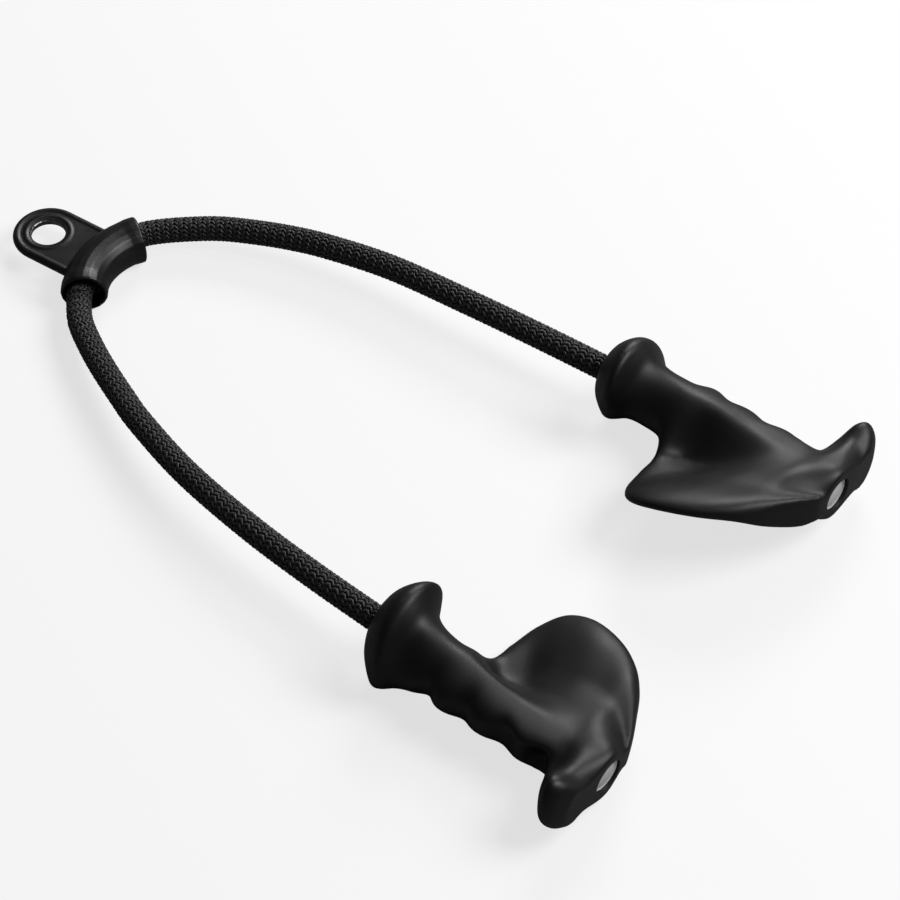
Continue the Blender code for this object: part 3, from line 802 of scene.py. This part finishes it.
def moulded_hub():
    """Sleeve and tab run into one another with soft moulded corners, then the bores are cut."""
    body = sleeve("moulded_hub", LIP_STATIONS, SLEEVE_RADIUS)
    inset = TAB_RADIUS - TAB_RIM
    round_end = [-math.pi / 2 - math.pi * index / TAB_END_STEPS for index in range(TAB_END_STEPS + 1)]
    outline = [(TAB_ROOT_X, -inset),
               *[(EYE_X + inset * math.cos(turn), inset * math.sin(turn)) for turn in round_end],
               (TAB_ROOT_X, inset)]
    rim = tube("tab_rim", outline, [TAB_RIM] * len(outline))
    ring_turns = [2 * math.pi * index / EYE_RING_STEPS for index in range(EYE_RING_STEPS)]
    ring = [(EYE_X + EYE_RING_RADIUS * math.cos(turn), EYE_RING_RADIUS * math.sin(turn))
            for turn in ring_turns]
    boss = tube("eye_boss", ring, [TAB_RIM] * len(ring), cyclic=True)
    web_end = eye_cylinder(inset, 2 * TAB_WEB)
    bpy.ops.mesh.primitive_cube_add(size=1, location=hub_point(EYE_X / 2, 0), rotation=(0, 0, HUB_HEADING))
    web = bpy.context.object
    web.scale = (-EYE_X, 2 * inset, 2 * TAB_WEB)
    deselect()
    for each in (rim, boss, web_end, web, body):
        each.select_set(True)
    bpy.context.view_layer.objects.active = body
    bpy.ops.object.join()
    set_down(body)
    even_skin(body, HUB_VOXEL, HUB_ROUNDS)
    bore = sleeve("bore", BORE_STATIONS, SLEEVE_BORE, BORE_OVERRUN)
    eye = eye_cylinder(EYE_RADIUS, EYE_CUT_DEPTH)
    seat = eye_cylinder(EYE_SEAT_RADIUS, EYE_SEAT_DEPTH)
    cut_away(body, [bore, eye, seat])
    body.data.materials.clear()
    body.data.materials.append(NYLON)
    hand_over(body, "hub", "hub_cover", crease=42)


moulded_hub()


# Rope legs


def rope_line(side, route, handle):
    """A leg's line from the middle of the hub's bend to the rope's end in the handle's foot."""
    sleeve_points = sleeve_line(side)
    leaving = Matrix.Rotation(HUB_HEADING, 3, "Z") @ Vector(
        (math.sin(BEND_HALF_ANGLE), side * math.cos(BEND_HALF_ANGLE), 0))
    first = sleeve_points[-1] + leaving * ROPE_RADIUS
    ground = Vector((HUB_CENTRE.x, HUB_CENTRE.y, 0))
    free = [ground + Vector(point) for point in route]
    tail = [handle @ Vector((share * ROPE_END, 0, 0)) for share in ROPE_END_SHARES]
    return smooth_through([*sleeve_points, first, *free, *tail], ROUTE_STEP)


def even_line(points, step):
    """The same line with its points exactly a step apart."""
    even = [points[0]]
    carried = 0.0
    for start, end in zip(points, points[1:]):
        length = (end - start).length
        while carried + length >= step:
            start = start.lerp(end, (step - carried) / length)
            even.append(start)
            length = (end - start).length
            carried = 0.0
        carried += length
    return even


def carried_frames(points):
    """Side, up and forward directions along a line, turned as little as possible from point to point."""
    along = [(after - before).normalized() for before, after in
             zip([points[0]] + points[:-1], points[1:] + [points[-1]])]
    up = Vector((0, 0, 1))
    frames = []
    for direction in along:
        side = direction.cross(up).normalized()
        up = side.cross(direction).normalized()
        frames.append((side, up, direction))
    return frames


def braided_rope(name, points, braid_start, braid_end):
    """A braided rope along the points: yarns over and under each other round a plain core. The fibre
    attribute holds the distance along in centimetres, the share round a yarn and the yarn's number."""
    step = BRAID_LAY / (2 * CARRIERS) / STEPS_A_CROSSING
    line = even_line(points, step)
    frames = carried_frames(line)
    first = round(braid_start / step)
    last = min(len(line) - 1, round(braid_end / step))
    vertices, faces, fibre = [], [], []
    turn_rate = 2 * math.pi / BRAID_LAY
    slant = math.atan(turn_rate * BRAID_RADIUS)
    yarn_gap = YARN_WIDTH / BRAID_RADIUS / math.cos(slant)
    yarn_id = 0
    for direction in (1, -1):
        # Inside the handle, out of sight, only the yarns of one direction go on
        end = len(line) - 1 if direction > 0 else last
        for carrier in range(CARRIERS):
            for yarn in range(YARNS_A_CARRIER):
                yarn_id += 1
                base = len(vertices)
                aside = (yarn - (YARNS_A_CARRIER - 1) / 2) * yarn_gap
                for index in range(first, end + 1):
                    distance = index * step
                    middle = direction * turn_rate * distance + 2 * math.pi * carrier / CARRIERS
                    wave = direction * math.cos(CARRIERS * middle)
                    wave = wave * (1.5 - 0.5 * wave * wave)
                    radius = BRAID_RADIUS + BRAID_WAVE * wave
                    angle = middle + aside
                    side, up, ahead = frames[index]
                    out = side * math.cos(angle) + up * math.sin(angle)
                    around = up * math.cos(angle) - side * math.sin(angle)
                    across = around * math.cos(slant) - direction * ahead * math.sin(slant)
                    centre = line[index] + out * radius
                    for corner in range(YARN_SIDES):
                        turn = 2 * math.pi * (corner + 0.5) / YARN_SIDES
                        vertices.append(centre + across * (YARN_WIDTH / 2 * math.cos(turn))
                                        + out * (YARN_THICKNESS / 2 * math.sin(turn)))
                        fibre.append((distance * 100, corner / YARN_SIDES, yarn_id))
                faces += ring_faces(base, YARN_SIDES, end + 1 - first)
    base = len(vertices)
    core_line = sorted({*range(0, len(line), CORE_STRIDE), len(line) - 1})
    for index in core_line:
        side, up, _ = frames[index]
        radius = CORE_RADIUS if first < index < last else ROPE_RADIUS - BRAID_WAVE
        for corner in range(CORE_SIDES):
            turn = 2 * math.pi * corner / CORE_SIDES
            vertices.append(line[index] + side * (radius * math.cos(turn)) + up * (radius * math.sin(turn)))
            fibre.append((index * step * 100, corner / CORE_SIDES, 0))
    faces += ring_faces(base, CORE_SIDES, len(core_line))
    piece = new_mesh_piece(name, vertices, faces, YARN)
    piece.data.attributes.new("fibre", "FLOAT_VECTOR", "POINT").data.foreach_set(
        "vector", [value for each in fibre for value in each])
    face_outwards(piece)
    bpy.ops.object.shade_smooth()
    return piece, line


def rope_leg(side_name, side, route, replaced):
    """One leg of the rope, from the middle of the hub's bend to its end in the handle's foot."""
    whole = rope_line(side, route, HANDLES[side_name])
    in_sleeve = sleeve_line(side)
    to_handle = length_of(whole) - ROPE_END
    rope, rope_points = braided_rope("braided_rope_" + side_name, whole,
                                     length_of(in_sleeve) - BRAID_IN_SLEEVE, to_handle + BRAID_IN_HANDLE)
    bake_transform(rope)
    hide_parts(*replaced)


rope_leg("left", 1, LEFT_ROUTE, ("rope_left", "rope_middle"))
rope_leg("right", -1, RIGHT_ROUTE, ("rope_right",))


# Hidden pieces, as they are in the frame


def finish_node(name, material):
    piece = frame["nodes"][name]
    piece.data.materials.clear()
    piece.data.materials.append(material)


finish_node("guide_tube", GUIDE)
for node_name in ("tang_plate", "eyelet", "left_thrust_washer", "left_ferrule",
                  "right_thrust_washer", "right_ferrule"):
    finish_node(node_name, STEEL)
for node_name in ("left_core_tube", "right_core_tube"):
    finish_node(node_name, LINER)


# Floor and light


def floor():
    """White paper: near white to the camera, and mid grey in the light it throws back on the part."""
    deselect()
    bpy.ops.mesh.primitive_plane_add(size=FLOOR_SIZE, location=(0, 0, FLOOR_HEIGHT))
    plane = bpy.context.object
    plane.name = "floor"
    made = bpy.data.materials.new("paper sweep, white")
    made.use_nodes = True
    tree = made.node_tree
    tree.nodes.clear()
    output = node(tree, "ShaderNodeOutputMaterial")
    seen = node(tree, "ShaderNodeLightPath").outputs["Is Camera Ray"]
    tone = ramp(tree, seen, ((0.0, "808080"), (1.0, "F0F0F0")))
    matt = node(tree, "ShaderNodeBsdfDiffuse", {"Color": tone})
    glow = node(tree, "ShaderNodeEmission", {"Color": WHITE, "Strength": 1.0})
    share = node(tree, "ShaderNodeMath", {0: seen, 1: FLOOR_GLOW_SHARE}, operation="MULTIPLY")
    both = node(tree, "ShaderNodeMixShader", {0: share.outputs["Value"], 1: matt.outputs["BSDF"],
                                              2: glow.outputs["Emission"]})
    tree.links.new(both.outputs["Shader"], output.inputs["Surface"])
    plane.data.materials.append(made)


def softbox(name, place, size, power):
    data = bpy.data.lights.new(name, "AREA")
    data.shape = "RECTANGLE"
    data.size, data.size_y = size
    data.energy = power
    lamp = new_object(name, data)
    lamp.location = place
    lamp.rotation_euler = (-Vector(place)).to_track_quat("-Z", "Y").to_euler()


def studio():
    world = bpy.data.worlds.new("studio")
    bpy.context.scene.world = world
    world.use_nodes = True
    background = world.node_tree.nodes["Background"]
    background.inputs["Color"].default_value = WHITE
    background.inputs["Strength"].default_value = WORLD_STRENGTH
    bpy.context.scene.view_settings.view_transform = "Standard"


floor()
softbox("key_softbox", KEY_PLACE, KEY_SIZE, KEY_WATTS)
softbox("top_softbox", TOP_PLACE, TOP_SIZE, TOP_WATTS)
studio()
